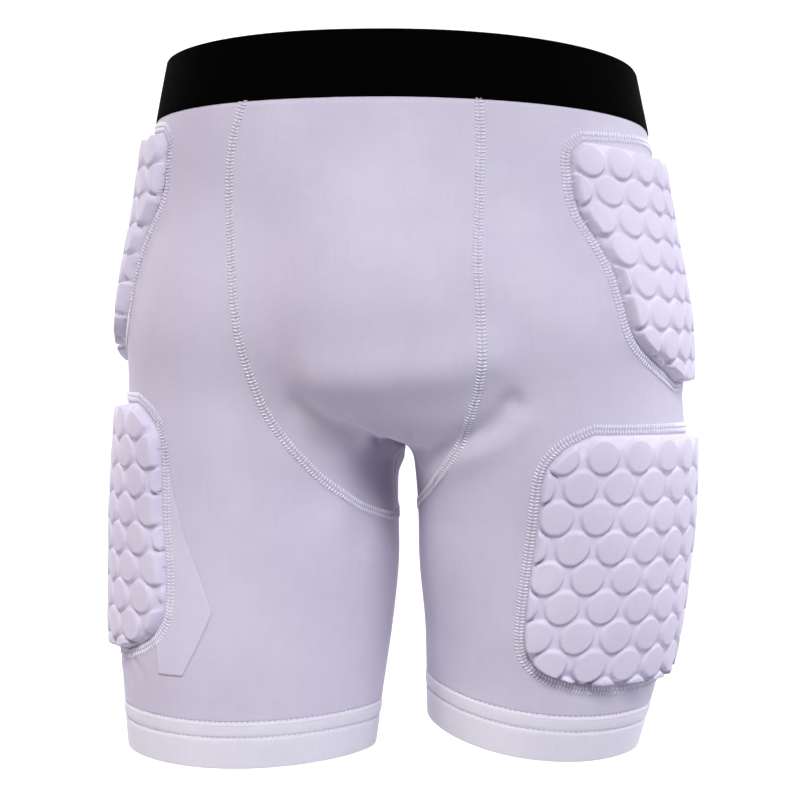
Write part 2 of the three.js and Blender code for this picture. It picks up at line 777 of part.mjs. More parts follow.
const stretchFabric = new THREE.MeshStandardMaterial({ color: '#e4e1ee', roughness: 0.85, metalness: 0 });
const paddedFabric = new THREE.MeshStandardMaterial({ color: '#e9e3f1', roughness: 0.7, metalness: 0 });
const blackElastic = new THREE.MeshStandardMaterial({ color: '#0b0b0c', roughness: 0.8, metalness: 0 });

const shorts = new THREE.Group();

function addPiece(name, geometry, material) {
  const mesh = new THREE.Mesh(lean(geometry), material);
  mesh.name = name;
  shorts.add(mesh);
}

addPiece('waistband', waistband(), blackElastic);
addPiece('front_panel', centrePanel(-1), stretchFabric);
addPiece('back_panel', centrePanel(1), stretchFabric);
for (const [word, side] of [['right', -1], ['left', 1]]) {
  addPiece(`leg_panel_${word}`, legPanel(side), stretchFabric);
  addPiece(`leg_hem_${word}`, legHem(side), stretchFabric);
}
for (const pad of pads) addPiece(pad.name, padSolid(pad), paddedFabric);

export default shorts;
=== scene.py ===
import math

import bmesh
import bpy
import numpy as np
from mathutils import Matrix, Vector


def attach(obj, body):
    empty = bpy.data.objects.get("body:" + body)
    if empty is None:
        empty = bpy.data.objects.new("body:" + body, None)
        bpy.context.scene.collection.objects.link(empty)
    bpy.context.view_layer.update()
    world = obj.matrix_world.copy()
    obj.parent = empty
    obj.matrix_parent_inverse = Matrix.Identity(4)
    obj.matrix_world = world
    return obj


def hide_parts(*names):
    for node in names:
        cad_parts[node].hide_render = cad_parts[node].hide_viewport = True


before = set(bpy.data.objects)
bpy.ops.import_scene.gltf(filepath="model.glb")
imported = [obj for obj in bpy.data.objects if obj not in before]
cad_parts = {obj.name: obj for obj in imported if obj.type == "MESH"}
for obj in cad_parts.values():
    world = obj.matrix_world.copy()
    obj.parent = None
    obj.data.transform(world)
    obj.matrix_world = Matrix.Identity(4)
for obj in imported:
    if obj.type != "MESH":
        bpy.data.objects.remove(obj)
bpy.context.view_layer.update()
scene = bpy.context.scene
print("frame loaded")

# The worn form, in millimetres. A level is 0 at the waistband's middle, 1 at the crotch and 2 at the hem.
body = {
    "hipWidth": 320, "hipDepth": 204, "rise": 215, "legLength": 190,
    "thighWidth": 178, "thighDepth": 176, "legSpacing": 180, "waistLean": 5, "waistPitch": 5.5,
    "sideSag": 2.5, "roundness": 2.35, "trunkEnd": .558, "trunkFade": .344, "trunkSteep": .93,
    "legFade": .419, "legSteep": .91, "trunkBlend": .1375, "legBlend": .034, "gap": .0125,
    "trunk": [  # level, half width, front, back
        (-0.11, .912, .951, .951), (.093, .963, .971, .971), (.279, 1, .971, 1.02),
        (.512, .994, .971, 1.039), (.744, 1, .961, 1), (1, .988, .902, .941)],
    "rightLeg": [  # level, half width, half depth, axis out, axis aft
        (.279, .674, .682, .956, .023), (.558, .798, .977, .967, .023), (.884, .95, 1.045, .993, .011),
        (1.2, .986, 1, 1.012, 0), (1.395, .993, .955, 1.001, -.023), (1.595, .972, .909, 1.011, -.045),
        (1.795, .929, .864, 1.02, -.068), (2.079, .856, .818, 1.026, -.085)],
    "leftLeg": [
        (.279, .674, .682, .933, .023), (.558, .798, .977, .956, .023), (.884, .933, 1.045, 1.022, .023),
        (1.2, .921, .977, 1.044, .045), (1.395, .899, .932, 1.022, .068), (1.595, .854, .886, 1.006, .091),
        (1.795, .803, .841, .956, .114), (2.079, .708, .795, .872, .136)],
    "bulges": [  # x, y, level, radii, blend
        (.044, -.412, .642, .175, .206, .307, .156),
        (-.194, .294, .628, .206, .304, .38, .12), (.194, .294, .628, .206, .304, .38, .12)],
}
gapX = body["gap"] * body["hipWidth"]  # the middle of the gap between the legs


def smoothCurve(x, y):
    x, y = np.array(x, float), np.array(y, float)
    last = len(x) - 1
    spots = np.arange(last + 1)
    a, b = np.maximum(spots - 1, 0), np.minimum(spots + 1, last)
    slope = (y[b] - y[a]) / (x[b] - x[a])

    def at(value):
        spot = np.clip(value, x[0], x[last])
        k = np.clip(np.searchsorted(x, spot) - 1, 0, last - 1)
        run = x[k + 1] - x[k]
        t = (spot - x[k]) / run
        keep = (2 * t - 3) * t * t + 1
        leave, arrive = (t - 2) * t * t + t, (t - 1) * t * t
        return keep * y[k] + leave * run * slope[k] + (1 - keep) * y[k + 1] + arrive * run * slope[k + 1]
    return at


def curvesOf(rows):
    table = np.array(rows, float)
    return [smoothCurve(table[:, 0], table[:, k]) for k in range(1, table.shape[1])]


trunkCurves = curvesOf(body["trunk"])
legCurves = {-1: curvesOf(body["rightLeg"]), 1: curvesOf(body["leftLeg"])}


def zOfLevel(level):
    level = np.asarray(level, float)
    return np.where(level < 1, -level * body["rise"], -body["rise"] - (level - 1) * body["legLength"])


def levelOfZ(z):
    return np.where(z > -body["rise"], -z / body["rise"], 1 + (-z - body["rise"]) / body["legLength"])


def legAxis(side, z):
    level = levelOfZ(z)
    out, aft = legCurves[side][2:]
    across = side * out(level) * body["legSpacing"] / 2
    return np.stack([across, aft(level) * body["thighDepth"], z + 0 * level], -1)


def blendDistance(a, b, reach):
    near = np.maximum(reach - np.abs(a - b), 0) / reach
    return np.minimum(a, b) - near * near * reach / 4


# Distance outside the worn outer surface, negative inside it
def distance(p):
    x, y, z = p[..., 0], p[..., 1], p[..., 2]
    level = levelOfZ(z)
    wide, deep, rise = body["hipWidth"], body["hipDepth"], body["rise"]
    half, front, back = [c(level) for c in trunkCurves]
    end, roundness = body["trunkEnd"] * rise, body["roundness"]
    below = np.maximum(-z - end, 0) / (body["trunkFade"] * rise)
    thick = np.where(y < 0, front, back) * deep / 2
    size = (np.abs(x) / (half * wide / 2)) ** roundness + (np.abs(y) / thick) ** roundness
    total = ((size + below ** roundness) ** (1 / roundness) - 1) * (deep / 2) * body["trunkSteep"]
    above = np.maximum(z + end, 0) / (body["legFade"] * rise)
    legs = []
    for side in (-1, 1):
        axis = legAxis(side, z)
        halfLeg, deepLeg = [c(level) for c in legCurves[side][:2]]
        dx = (x - axis[..., 0]) / (halfLeg * body["thighWidth"] / 2)
        dy = (y - axis[..., 1]) / (deepLeg * body["thighDepth"] / 2)
        steep = body["thighDepth"] / 2 * body["legSteep"]
        legs.append((np.sqrt(dx * dx + dy * dy + above * above) - 1) * steep)
    total = blendDistance(total, blendDistance(*legs, body["legBlend"] * body["thighWidth"]),
                          body["trunkBlend"] * wide)
    for bx, by, bl, rx, ry, rz, reach in body["bulges"]:
        dx, dy = (x - bx * wide) / (rx * wide), (y - by * deep) / (ry * deep)
        dz = (z + bl * rise) / (rz * rise)
        bulge = (np.sqrt(dx * dx + dy * dy + dz * dz) - 1) * ry * deep
        total = blendDistance(total, bulge, reach * wide)
    return total


def slopeAt(p, step=.5):
    slope = np.zeros_like(p)
    for k in range(3):
        d = np.zeros(3)
        d[k] = step
        slope[..., k] = (distance(p + d) - distance(p - d)) / (2 * step)
    return slope


def unit(v):
    return v / np.maximum(np.linalg.norm(v, axis=-1, keepdims=True), 1e-12)


def normalAt(p, level=False):
    slope = slopeAt(p)
    if level:
        slope[..., 2] = 0
    return unit(slope)


def settle(p, freedom=1, steps=4):
    p = p.copy()
    for _ in range(steps):
        slope = slopeAt(p)
        slope[..., 2] *= freedom
        p -= slope * (distance(p) / np.maximum((slope * slope).sum(-1), 1e-6))[..., None]
    return p


def cast(start, direction, reach):
    inside, outside = np.zeros(start.shape[:-1]), np.broadcast_to(reach, start.shape[:-1]).astype(float)
    for _ in range(22):
        middle = (inside + outside) / 2
        out = distance(start + direction * middle[..., None]) > 0
        inside, outside = np.where(out, inside, middle), np.where(out, middle, outside)
    return start + direction * inside[..., None]


# The point of a leg at a turn round its axis: 0 outside, 90 in front, 180 inside
def legPoint(side, turn, z):
    turn, z = np.broadcast_arrays(np.asarray(turn, float), np.asarray(z, float))
    angle = np.radians(turn)
    axis = legAxis(side, z)
    direction = np.stack([side * np.cos(angle), -np.sin(angle), 0 * angle], -1)
    inwards = -np.cos(angle)
    room = np.abs(axis[..., 0] - gapX) / np.maximum(inwards, .01)
    reach = np.where(inwards > .01, np.minimum(body["hipWidth"], room), body["hipWidth"])
    return cast(axis, direction, reach)


# The waist sits a little lower on the left, at the back and at the sides
def lean(p):
    p = p.copy()
    fade = np.clip(1 + p[..., 2] / body["rise"], 0, 1)
    left = body["waistLean"] * fade * p[..., 0] / (body["hipWidth"] / 2)
    back = body["waistPitch"] * fade * fade * p[..., 1] / (body["hipDepth"] / 2)
    sides = body["sideSag"] * fade * fade * (p[..., 0] / (body["hipWidth"] / 2)) ** 2
    p[..., 2] -= left + back + sides
    return p


# Small folds pressed into the cloth: points of each line, its half width and its height
folds = [
    ([(-13, -90, -207), (-8, -87, -209.5), (-1, -81, -212), (-5, -32, -216)], 2.6, -3),
    ([(-7, -99, -202), (-1, -96, -205), (7, -88, -210), (3, -60, -214)], 3.2, 1.6),
    ([(26.8, -92.8, -209), (24.2, -73.4, -217.6)], 2.4, -1.6),
    ([(33, -92, -214), (33, -70, -224)], 3.0, 1.0),
    ([(-14, -62, -226), (-22, -66, -238)], 2.2, 1.0),
    ([(-3, 0, -217), (-4, 14, -225)], 7.5, 4),
    ([(2, -14, -218), (5, 8, -219)], 6, 5),
    ([(-15, -66, -228), (-17, -64, -244), (-20, -64, -262)], 14, 5),
    # the pouch stands out and turns under below
    ([(-22, -112, -177), (-2, -118, -176), (28, -120, -174), (53, -115, -173), (76, -107, -166)], 15, 5),
    ([(-38, -97, -197), (-24, -92, -207), (-12, -83, -213)], 10, -4),
    ([(25, -61, -223), (38, -76, -222), (49, -85, -217), (60, -89, -213), (69, -91, -209), (79, -92, -203),
      (87, -94, -193)], 8, -5),
    ([(35, -64, -233), (48, -78, -227), (59, -84, -222), (69, -87, -218), (79, -89, -212), (89, -90, -205)],
     10, 1.8),
    ([(-153.7, -63, -346.6), (-146.9, -68.9, -355.9)], 1.8, -.9),
    ([(-150, -66, -345), (-140, -73, -353)], 1.8, .8),
    ([(-159.5, -56.5, -350.7), (-156, -60, -362)], 2.0, -.8),
    ([(-171, -40, -352), (-163, -52, -364)], 2.4, .8),
]


def foldHeight(p):
    height = np.zeros(p.shape[:-1])
    for line, width, tall in folds:
        points = np.array(line, float)
        near = np.full(p.shape[:-1], 1e9)
        for start, end in zip(points[:-1], points[1:]):
            run = end - start
            share = np.clip((p - start) @ run / (run @ run), 0, 1)
            near = np.minimum(near, np.linalg.norm(p - start - share[..., None] * run, axis=-1))
        height += tall * np.exp(-(near / width) ** 2)
    return height


def finishMesh(name, bm, material, replaces=()):
    mesh = bpy.data.meshes.new(name)
    bm.to_mesh(mesh)
    bm.free()
    return finishPiece(name, mesh, material, replaces)


def finishPiece(name, mesh, material, replaces=()):
    mesh.shade_smooth()
    mesh.materials.append(material)
    piece = bpy.data.objects.new(name, mesh)
    scene.collection.objects.link(piece)
    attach(piece, "root")
    if replaces:
        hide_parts(*replaces)
    return piece


def moveVerts(bm, places):
    for vert, place in zip(bm.verts, lean(places) * .001):
        vert.co = place


# The cloth's own flat measure in metres, for the knit
def setChart(bm, chart):
    layer = bm.loops.layers.uv.active
    loops = [loop for face in bm.faces for loop in face.loops]
    flat = np.array([loop[layer].uv[:] for loop in loops])
    for loop, uv in zip(loops, chart(flat[:, 0], flat[:, 1]) * .001):
        loop[layer].uv = uv


def unitGrid(columns, rows):
    bm = bmesh.new()
    bm.loops.layers.uv.new("cloth")
    bmesh.ops.create_grid(bm, x_segments=columns, y_segments=rows, size=.5, calc_uvs=True)
    flat = np.array([v.co[:2] for v in bm.verts]) + .5
    return bm, flat[:, 0], flat[:, 1]


# Outward holds one direction for each vertex
def faceOutwards(bm, outward):
    bm.normal_update()
    agree = sum(v.normal.dot(Vector(n)) for v, n in zip(bm.verts, outward))
    if agree < 0:
        bmesh.ops.reverse_faces(bm, faces=bm.faces[:])


def addWall(piece, thickness):
    made = piece.modifiers.new("wall", "SOLIDIFY")
    made.thickness = thickness * .001
    made.offset = -1


def linear(colour):
    parts = [int(colour[k:k + 2], 16) / 255 for k in (1, 3, 5)]
    return [c / 12.92 if c <= .04045 else ((c + .055) / 1.055) ** 2.4 for c in parts] + [1]


def node(tree, kind, settings=None, **inputs):
    made = tree.nodes.new(kind)
    for key, value in (settings or {}).items():
        setattr(made, key, value)
    for key, value in inputs.items():
        name = int(key[2:]) if key.startswith("at") else key.replace("_", " ")
        socket = made.inputs[name]
        if isinstance(value, bpy.types.NodeSocket):
            tree.links.new(value, socket)
        else:
            socket.default_value = value
    return made


def mixColours(tree, share, low, high):
    mix = node(tree, "ShaderNodeMix", {"data_type": "RGBA"}, Factor=share)
    mix.inputs[6].default_value = linear(low)
    mix.inputs[7].default_value = linear(high)
    return mix.outputs[2]


def newMaterial(name):
    material = bpy.data.materials.new(name)
    material.use_nodes = True
    tree = material.node_tree
    return material, tree, tree.nodes["Principled BSDF"]


# Nylon and elastane warp knit, brushed soft: fine wales under a faint sheen, with a lavender cast
knit = {"light": "#d9d3e4", "dark": "#cfc8db", "wale": .9, "course": .75, "relief": .05, "roughness": .8}


def nylonKnit(name, look):
    material, tree, shader = newMaterial(name)
    chart = node(tree, "ShaderNodeUVMap", {"uv_map": "cloth"}).outputs["UV"]
    place = node(tree, "ShaderNodeTexCoord").outputs["Object"]
    cloud = node(tree, "ShaderNodeTexNoise", Vector=place, Scale=16.0, Detail=3.0, Roughness=.55)
    # warp streaks about 3 mm wide and 25 mm long, as in a brushed knit
    streak = node(tree, "ShaderNodeMapping", Vector=chart, Scale=(330.0, 40.0, 1.0))
    warp = node(tree, "ShaderNodeTexNoise", Vector=streak.outputs[0], Scale=1.0, Detail=4.0, Roughness=.65)
    across = node(tree, "ShaderNodeMapping", Vector=chart, Scale=(60.0, 620.0, 1.0))
    weft = node(tree, "ShaderNodeTexNoise", Vector=across.outputs[0], Scale=1.0, Detail=3.0, Roughness=.6)
    grain = node(tree, "ShaderNodeMath", {"operation": "ADD"}, at0=warp.outputs["Fac"],
                 at1=weft.outputs["Fac"])
    both = node(tree, "ShaderNodeMath", {"operation": "MULTIPLY_ADD"}, at0=grain.outputs[0], at1=.3,
                at2=cloud.outputs["Fac"])
    tone = node(tree, "ShaderNodeMapRange", Value=both.outputs[0], From_Min=.6, From_Max=1.0)
    wale = node(tree, "ShaderNodeTexWave", {"bands_direction": "X"}, Vector=chart,
                Scale=math.pi / 10 / (look["wale"] * .001), Distortion=.4, Detail=1.0)
    course = node(tree, "ShaderNodeTexWave", {"bands_direction": "Y"}, Vector=chart,
                  Scale=math.pi / 10 / (look["course"] * .001), Distortion=.6, Detail=1.0)
    loops = node(tree, "ShaderNodeMath", {"operation": "MULTIPLY"}, at0=wale.outputs["Fac"],
                 at1=course.outputs["Fac"])
    fine = node(tree, "ShaderNodeBump", Strength=.35, Distance=look["relief"] * .001,
                Height=loops.outputs[0])
    # the cloth isn't perfectly even: shallow waves about 15 mm across
    uneven = node(tree, "ShaderNodeBump", Strength=.5, Distance=.0009, Height=cloud.outputs["Fac"],
                  Normal=fine.outputs[0])
    colour = mixColours(tree, tone.outputs[0], look["dark"], look["light"])
    tree.links.new(colour, shader.inputs["Base Color"])
    tree.links.new(uneven.outputs[0], shader.inputs["Normal"])
    shader.inputs["Roughness"].default_value = look["roughness"]
    shader.inputs["IOR"].default_value = 1.53
    shader.inputs["Specular IOR Level"].default_value = .3
    shader.inputs["Sheen Weight"].default_value = .2
    shader.inputs["Sheen Roughness"].default_value = .4
    shader.inputs["Sheen Tint"].default_value = linear("#f3efff")
    return material


bodyKnit = nylonKnit("brushedNylonKnit", knit)
# The same knit over foam and folded at the hem lets less light through, so it looks whiter
padKnit = nylonKnit("paddedNylonKnit", {**knit, "light": "#e4deef", "dark": "#dbd4e7"})
# The seam's band is painted greyer than the cloth: painted shade for the gaps between the stitches
seamShadeKnit = nylonKnit("stitchedNylonKnitPaintedShade", {**knit, "light": "#d2ccdd", "dark": "#c6c0d2"})
hemKnit = nylonKnit("foldedNylonKnit", {**knit, "light": "#ebe8f3", "dark": "#e2deea"})
backingKnit = nylonKnit("backingNylonKnit", {**knit, "light": "#dfd9ea", "dark": "#d6cfe2"})

# Textured polyester thread, bright and slightly glossy
thread = {"light": "#fbfaff", "dark": "#ebe7f5", "roughness": .5}


def polyesterThread():
    material, tree, shader = newMaterial("polyesterThread")
    place = node(tree, "ShaderNodeTexCoord").outputs["Object"]
    twist = node(tree, "ShaderNodeTexNoise", Vector=place, Scale=1500.0, Detail=2.0)
    bump = node(tree, "ShaderNodeBump", Strength=.4, Distance=.0001, Height=twist.outputs["Fac"])
    colour = mixColours(tree, twist.outputs["Fac"], thread["dark"], thread["light"])
    tree.links.new(colour, shader.inputs["Base Color"])
    tree.links.new(bump.outputs[0], shader.inputs["Normal"])
    shader.inputs["Roughness"].default_value = thread["roughness"]
    shader.inputs["Sheen Weight"].default_value = .2
    return material


threadFinish = polyesterThread()

# Woven elastic: black polyester over rubber cords, matte with shallow ribs round the waist
elastic = {"light": "#040404", "dark": "#010101", "rib": 1.6, "weft": .8}


def wovenElastic():
    material, tree, shader = newMaterial("wovenElastic")
    chart = node(tree, "ShaderNodeUVMap", {"uv_map": "cloth"}).outputs["UV"]
    rib = node(tree, "ShaderNodeTexWave", {"bands_direction": "Y"}, Vector=chart,
               Scale=math.pi / 10 / (elastic["rib"] * .001))
    weft = node(tree, "ShaderNodeTexWave", {"bands_direction": "X"}, Vector=chart,
                Scale=math.pi / 10 / (elastic["weft"] * .001), Distortion=.5)
    both = node(tree, "ShaderNodeMath", {"operation": "MULTIPLY_ADD"}, at0=weft.outputs["Fac"], at1=.4,
                at2=rib.outputs["Fac"])
    fuzz = node(tree, "ShaderNodeTexNoise", Vector=chart, Scale=900.0, Detail=2.0)
    bump = node(tree, "ShaderNodeBump", Strength=.5, Distance=.00015, Height=both.outputs[0])
    colour = mixColours(tree, fuzz.outputs["Fac"], elastic["dark"], elastic["light"])
    tree.links.new(colour, shader.inputs["Base Color"])
    tree.links.new(bump.outputs[0], shader.inputs["Normal"])
    shader.inputs["Roughness"].default_value = .9
    shader.inputs["Specular IOR Level"].default_value = .02
    return material


elasticFinish = wovenElastic()
print("materials made")

# The seam between a leg panel and the centre panels, at even steps round the leg and down
seam = {
    -1: {"turn": [97.5, 93, 92, 94, 96, 98.5, 103, 109, 119, 131, 147, 166, 180],
         "level": [.088, .2, .33, .47, .61, .73, .84, .935, 1.033, 1.122, 1.196, 1.238, 1.25]},
    1: {"turn": [99.5, 98.5, 98, 97.5, 97, 98, 101, 106, 115, 130, 147, 166, 180],
        "level": [.088, .2, .33, .47, .61, .72, .835, .93, 1.03, 1.12, 1.172, 1.205, 1.215]},
}


def seamTable(side):
    steps = np.linspace(0, 12, 1201)
    turns = smoothCurve(range(13), seam[side]["turn"])(steps)
    zs = zOfLevel(smoothCurve(range(13), seam[side]["level"])(steps))
    runs = np.hypot(np.radians(np.diff(turns)) * .6 * body["thighWidth"], np.diff(zs))
    runs = np.concatenate([[0], np.cumsum(runs)])
    return runs / runs[-1], turns, zs


seamTables = {side: seamTable(side) for side in (-1, 1)}


def seamAt(side, share):
    runs, turns, zs = seamTables[side]
    return np.interp(share, runs, turns), np.interp(share, runs, zs)


# The hems: cloth folded in and coverstitched by two rows, puffed up a little between them
hem = {"height": 25, "dip": 4, "leftLift": 20, "inside": 2, "rows": (-2.4, 6.9), "puff": .55,
       "groove": .75, "grooveWidth": .7, "lift": .3, "liftOver": 3, "edge": .5, "columns": 200,
       "sectionRows": 46, "length": 480}


def hemTop(side, turn):
    angle = np.radians(turn)
    lift = hem["leftLift"] * ((1 - np.cos(angle)) / 2) ** 1.5 if side > 0 else 0
    dip = hem["dip"] * np.maximum(np.sin(angle), 0) ** 2
    return -body["rise"] - body["legLength"] + hem["height"] - dip + lift


def hemHeight(drop):
    high, low = hem["rows"]
    share = np.clip((drop - high) / (low - high), 0, 1)
    grooves = sum(np.exp(-((drop - row) / hem["grooveWidth"]) ** 2) for row in hem["rows"])
    below = np.clip((drop - low) / hem["liftOver"], 0, 1) * hem["lift"]
    return hem["puff"] * np.sin(share * math.pi) ** .6 + below - hem["groove"] * grooves


# Leg panels: one tube each from the hem up, open along the seam above the crotch
panel = {"thickness": 1.6, "legColumns": 180, "seamRows": 96, "tubeRows": 40, "footRows": 26, "foot": 12,
         "tubeLength": 100, "centreColumns": 84, "centreWidth": 190, "centreLength": 300}


def legPanel(name, side):
    rows = panel["seamRows"] + panel["tubeRows"] + panel["footRows"]
    bm, u, v = unitGrid(panel["legColumns"], rows)
    folded = (panel["footRows"] / rows) * -hem["rows"][0] / panel["foot"]
    for face in bm.faces:
        face.material_index = int(face.calc_center_median().y + .5 < folded)

    # each row's place: along the seam, then down the tube, then finely over the last millimetres
    def rowParts(down):
        spot = down * rows
        along = np.clip(spot / panel["seamRows"], 0, 1)
        tube = np.clip((spot - panel["seamRows"]) / panel["tubeRows"], 0, 1)
        foot = np.clip((spot - panel["seamRows"] - panel["tubeRows"]) / panel["footRows"], 0, 1)
        return along, tube, foot
    along, tube, foot = rowParts(1 - v)
    turnEdge, zEdge = seamAt(side, along)
    turn = turnEdge * (1 - 2 * u)
    end = hemTop(side, turn)
    z = zEdge + (end + panel["foot"] - zEdge) * tube - panel["foot"] * foot
    places = legPoint(side, turn, z)
    normals = normalAt(places)
    height = foldHeight(places) + np.where(foot > 0, hemHeight(end - z), 0)
    moveVerts(bm, places + normals * height[:, None])
    girth = math.pi * body["thighWidth"] / 360

    def chart(cu, cv):
        cAlong, cTube, cFoot = rowParts(1 - cv)
        edge, edgeZ = seamAt(side, cAlong)
        drop = panel["tubeLength"] * cTube + panel["foot"] * cFoot
        return np.stack([edge * (1 - 2 * cu) * girth, edgeZ - drop], -1)
    setChart(bm, chart)
    faceOutwards(bm, normals)
    bmesh.ops.remove_doubles(bm, verts=bm.verts[:], dist=1e-5)
    piece = finishMesh(name + "_cloth", bm, bodyKnit, [name])
    piece.data.materials.append(hemKnit)
    addWall(piece, panel["thickness"])


for side, name in ((-1, "leg_panel_right"), (1, "leg_panel_left")):
    legPanel(name, side)
print("leg panels cut")


# The front panel (face -1) and the back panel (face 1) run from the waist to the middle of the crotch
def centrePanel(name, face):
    bm, u, v = unitGrid(panel["centreColumns"], panel["seamRows"])
    share = 1 - v
    rightTurn, rightZ = seamAt(-1, share)
    leftTurn, leftZ = seamAt(1, share)
    right, left = legPoint(-1, -face * rightTurn, rightZ), legPoint(1, -face * leftTurn, leftZ)
    rise = body["rise"]
    core = np.array([gapX, 0, -rise / 2]) + 0 * right
    waist = math.atan2(rise / 2 - seam[1]["level"][0] * rise, body["hipDepth"] / 2)
    angle = -waist + (waist + math.pi / 2) * share
    centre = cast(core, np.stack([0 * angle, face * np.cos(angle), -np.sin(angle)], -1), rise)
    centre[:, 2] = np.where(share < 1e-6, rightZ, centre[:, 2])
    pull = 2 * centre - .5 * right - .5 * left
    t = u[:, None]
    arc = (1 - t) ** 2 * right + 2 * t * (1 - t) * pull + t * t * left
    inner = (u > 1e-6) & (u < 1 - 1e-6)
    freedom = np.minimum(share * 3, 1)
    arc[inner] = settle(arc[inner], freedom[inner], 12)
    normals = normalAt(arc)
    moveVerts(bm, arc + normals * foldHeight(arc)[:, None])
    setChart(bm, lambda cu, cv: np.stack([(cu - .5) * panel["centreWidth"], cv * panel["centreLength"]], -1))
    faceOutwards(bm, normals)
    piece = finishMesh(name + "_cloth", bm, bodyKnit, [name])
    addWall(piece, panel["thickness"])


centrePanel("front_panel", -1)
centrePanel("back_panel", 1)
print("centre panels cut")


def trunkRing(turn, z):
    angle = np.radians(turn)
    start = np.stack([0 * z, 0 * z, z], -1)
    return cast(start, np.stack([np.cos(angle), np.sin(angle), 0 * angle], -1), body["hipWidth"])


# A closed ring swept round the form. The outline holds its section: drop below the top, height over the cloth
def ringStrip(name, columns, around, outline, length, material, replaces):
    outline = np.array(outline, float)
    count = len(outline)
    bm, u, v = unitGrid(columns, count)
    k = np.round(v * count).astype(int) % count
    places, normals = around(u, outline[k, 0])
    moveVerts(bm, places + normals * outline[k, 1:2])
    runs = np.concatenate([[0], np.cumsum(np.linalg.norm(np.diff(outline, axis=0), axis=1))])
    setChart(bm, lambda cu, cv: np.stack([cu * length, np.interp(cv * count, range(count), runs)], -1))
    bmesh.ops.remove_doubles(bm, verts=bm.verts[:], dist=1e-5)
    bmesh.ops.recalc_face_normals(bm, faces=bm.faces[:])
    finishMesh(name, bm, material, replaces)


# The section of a strip: down its outer face, then up its inner face, with rounded edges
def stripSection(height, inside, outside, steps, edge):
    outer = [(drop, outside(drop)) for drop in np.linspace(edge, height - edge, steps + 1)]
    soft = edge * .3
    low, high = outer[-1][1], outer[0][1]
    foot = [(height - soft, low - soft), (height, low - edge), (height, edge - inside),
            (height - soft, soft - inside)]
    inner = [(drop, -inside) for drop in np.linspace(height - edge, edge, steps + 1)]
    head = [(soft, soft - inside), (0, edge - inside), (0, high - edge), (soft, high - soft)]
    return outer + foot + inner + head


# The elastic is a little narrower at the sides, where it is stretched most
band = {"top": 19.7, "foot": 19.4, "sideTop": 3.6, "sideFoot": .9, "outside": .87, "inside": 1.73,
        "columns": 240, "rows": 25, "edge": .8, "length": 840}


def waistband():
    height = band["top"] + band["foot"]

    def around(u, drop):
        places = trunkRing(u * 360, band["top"] - drop)
        away = (places[:, 0] / (body["hipWidth"] / 2)) ** 2
        share = drop / height
        normals = normalAt(places, level=True)
        places[:, 2] -= away * (band["sideTop"] * (1 - share) + band["sideFoot"] * share)
        return places, normals
    section = stripSection(height, band["inside"], lambda drop: band["outside"], band["rows"], band["edge"])
    ringStrip("waistband_elastic", band["columns"], around, section, band["length"], elasticFinish,
              ["waistband"])


waistband()


def legHem(name, side):
    def around(u, drop):
        turn = 180 - 360 * u
        places = legPoint(side, turn, hemTop(side, turn) - drop)
        return places, normalAt(places, level=True)
    inside = hem["inside"]
    section = stripSection(hem["height"], inside, hemHeight, hem["sectionRows"], hem["edge"])
    # the outer face starts level with the leg's cloth
    section = [(0, float(hemHeight(0)))] + section[:-4] + [(0, -inside)]
    ringStrip(name + "_fold", hem["columns"], around, section, hem["length"], hemKnit,
              [name])


for side, name in ((-1, "leg_hem_right"), (1, "leg_hem_left")):
    legHem(name, side)
print("waistband and hems made")

# Flatlock seams: a narrow flat band under two rows of slanted stitches
flat = {"width": 5.6, "height": .2, "pitch": 2.05, "rowOffset": 1.5, "slant": 74, "length": 3.1,
        "thread": 1.0, "proud": .9, "step": 2.0, "rows": 10, "middleDip": .35, "dipWidth": .16, "tuck": .25,
        "stitchLift": .2}


# Many copies of one small shape, each placed by its own matrix
def copyShape(name, template, matrices, material):
    small = bpy.data.meshes.new(name + "One")
    template.to_mesh(small)
    template.free()
    bm = bmesh.new()
    for _ in range(len(matrices)):
        bm.from_mesh(small)
    corners = np.array([v.co[:] for v in small.vertices])
    places = np.einsum("nij,kj->nki", matrices[:, :, :3], corners) + matrices[:, None, :, 3]
    mesh = bpy.data.meshes.new(name)
    bm.to_mesh(mesh)
    bm.free()
    bpy.data.meshes.remove(small)
    mesh.vertices.foreach_set("co", (lean(places.reshape(-1, 3)) * .001).ravel())
    finishPiece(name, mesh, material)


def evenPath(points, step, closed):
    if closed:
        points = np.vstack([points, points[:1]])
    runs = np.concatenate([[0], np.cumsum(np.linalg.norm(np.diff(points, axis=0), axis=1))])
    count = max(int(round(runs[-1] / step)), 2)
    at = np.linspace(0, runs[-1], count + 1)
    path = np.stack([np.interp(at, runs, points[:, k]) for k in range(3)], -1)
    return path[:-1] if closed else path


def pathFrames(path, closed):
    if closed:
        along = np.roll(path, -1, 0) - np.roll(path, 1, 0)
    else:
        along = np.gradient(path, axis=0)
    normal = normalAt(path)
    along = unit(along - normal * (along * normal).sum(-1, keepdims=True))
    return along, np.cross(normal, along)


def stitchShape():
    bm = bmesh.new()
    turned = Matrix.Rotation(math.pi / 2, 4, "Y")
    bmesh.ops.create_uvsphere(bm, u_segments=6, v_segments=4, radius=.5, matrix=turned)
    return bm


# Rows of stitches beside a path: the offset and the slant of each row, and the height over the cloth
def stitchRows(name, path, closed, rows, look, lift):
    path = evenPath(path, look["pitch"], closed)
    along, across = pathFrames(path, closed)
    blocks = []
    for offset, slant in rows:
        centre = settle(path + across * offset, 1, 2)
        out = normalAt(centre)
        turn = math.radians(slant)
        long = along * math.cos(turn) + across * math.sin(turn)
        long = unit(long - out * (long * out).sum(-1, keepdims=True))
        centre = centre + out * (foldHeight(centre) + lift)[:, None]
        size = look["length"], look["thread"], look["proud"]
        block = [long * size[0], np.cross(out, long) * size[1], out * size[2], centre]
        blocks.append(np.stack(block, -1))
    copyShape(name, stitchShape(), np.concatenate(blocks), threadFinish)


